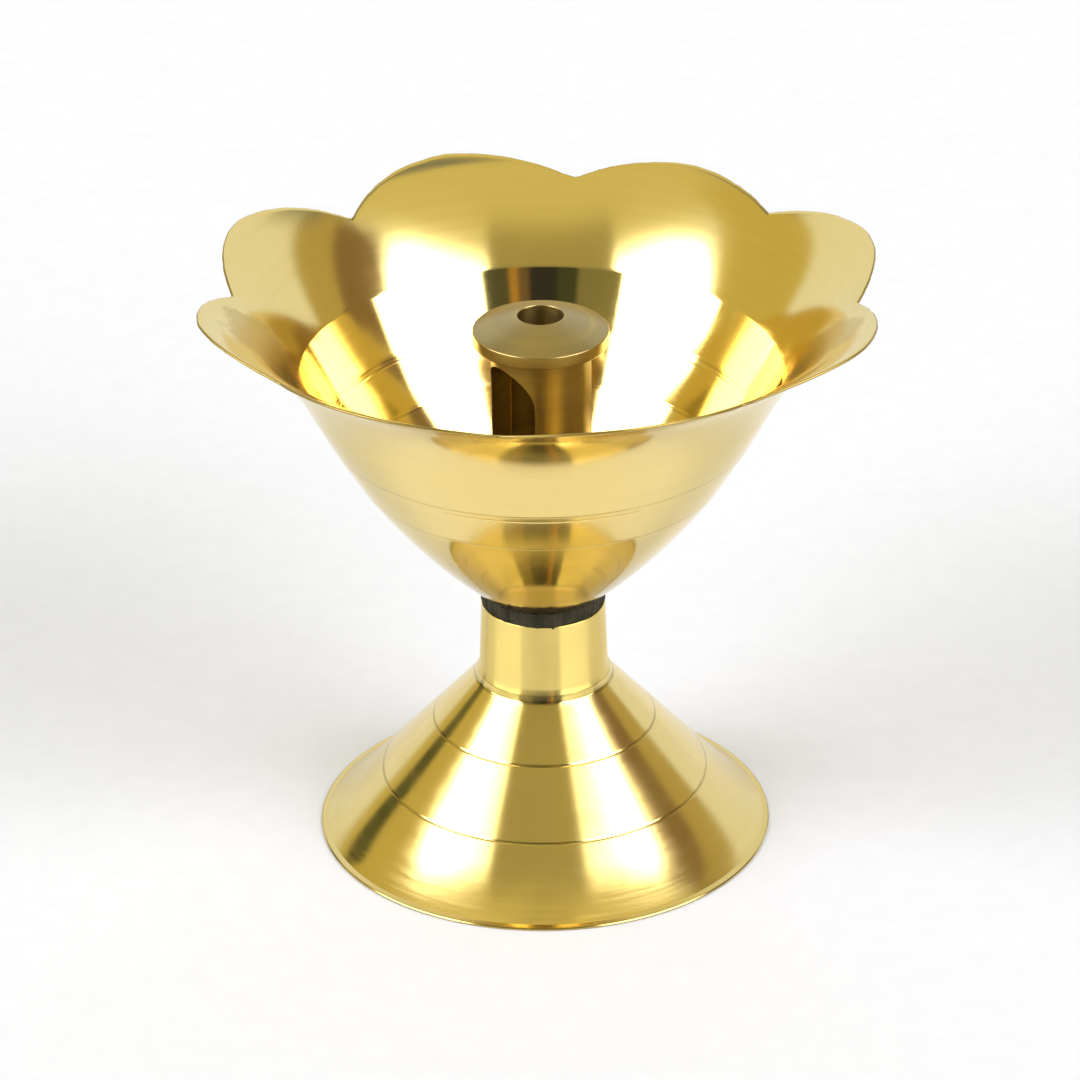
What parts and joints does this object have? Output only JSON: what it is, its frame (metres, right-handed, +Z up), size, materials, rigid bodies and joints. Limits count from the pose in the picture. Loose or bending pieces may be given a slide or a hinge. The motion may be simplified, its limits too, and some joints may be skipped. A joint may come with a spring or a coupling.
{
  "type": "diya oil lamp",
  "caption": "Small brass table oil lamp: a petal-rimmed oil bowl with a flanged central wick holder, clamped by a collar to a flared cone base.",
  "frame": {"origin": "centre of the foot, on the surface the lamp stands on", "axes": "+Z up the lamp's axis, -Y towards the side with the oil window on its left, +X to the right seen from -Y"},
  "size_m": [0.0731, 0.0722, 0.0668],
  "materials": {
    "bowl_brass": "polished yellow brass, spun, faint circular lathe lines",
    "holder_brass": "turned brass, satin, flange face left matt from the lathe",
    "gasket_rubber": "black sealing washer, matt, ragged edge",
    "collar_brass": "turned brass, satin polish",
    "base_brass": "satin polished brass, spun, circular lathe lines and scribed grooves",
    "stud_steel": "zinc-plated steel, machine thread",
    "washer_steel": "zinc-plated steel",
    "nut_steel": "zinc-plated steel"
  },
  "bodies": {
    "lamp": {"petal_bowl": "bowl_brass", "bowl_gasket": "gasket_rubber", "neck_collar": "collar_brass", "base_cone": "base_brass", "tie_stud": "stud_steel", "clamp_washer": "washer_steel", "clamp_nut": "nut_steel"},
    "wick_holder": {"wick_holder": "holder_brass"}
  },
  "joints": [
    {"name": "wick_holder_lift", "type": "slide", "parent": "lamp", "child": "wick_holder", "axis": [0, 0, 1], "range_m": [0, 0.045]}
  ]
}
